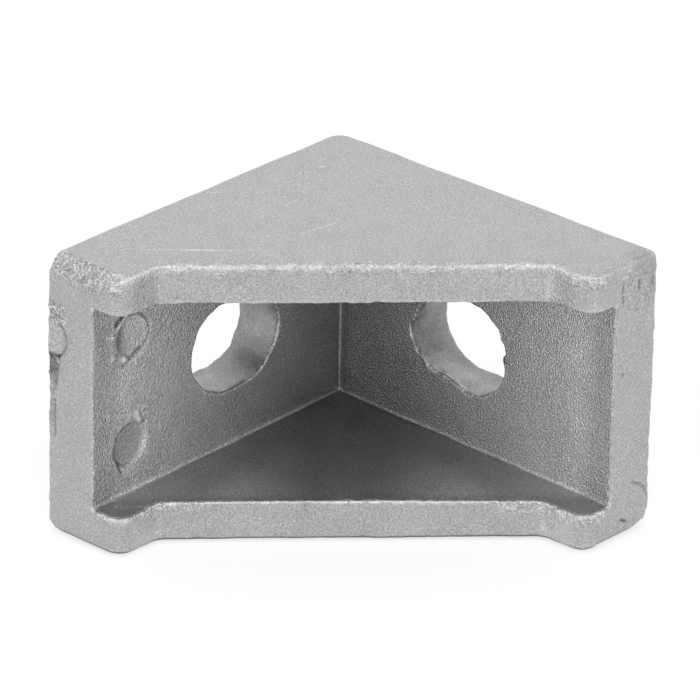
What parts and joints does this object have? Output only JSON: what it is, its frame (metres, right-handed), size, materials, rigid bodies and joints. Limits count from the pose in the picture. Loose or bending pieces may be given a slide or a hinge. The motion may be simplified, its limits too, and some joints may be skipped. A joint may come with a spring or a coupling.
{
  "type": "slotted profile corner bracket",
  "caption": "Die-cast right-angle corner bracket with two slotted legs and gussets on both sides, for joining slotted framing profiles.",
  "frame": {"origin": "outer corner, where the planes of the two mounting faces meet, at mid-width", "axes": "+X along one leg and +Y along the other, both away from the outer corner; +Z across the width, so the bracket lies on its lower gusset as in the picture"},
  "size_m": [0.028, 0.028, 0.02],
  "materials": {
    "cast_aluminium": "matte as-cast silver grey with a fine sandy grain"
  },
  "bodies": {
    "root": {"bracket": "cast_aluminium"}
  },
  "joints": []
}
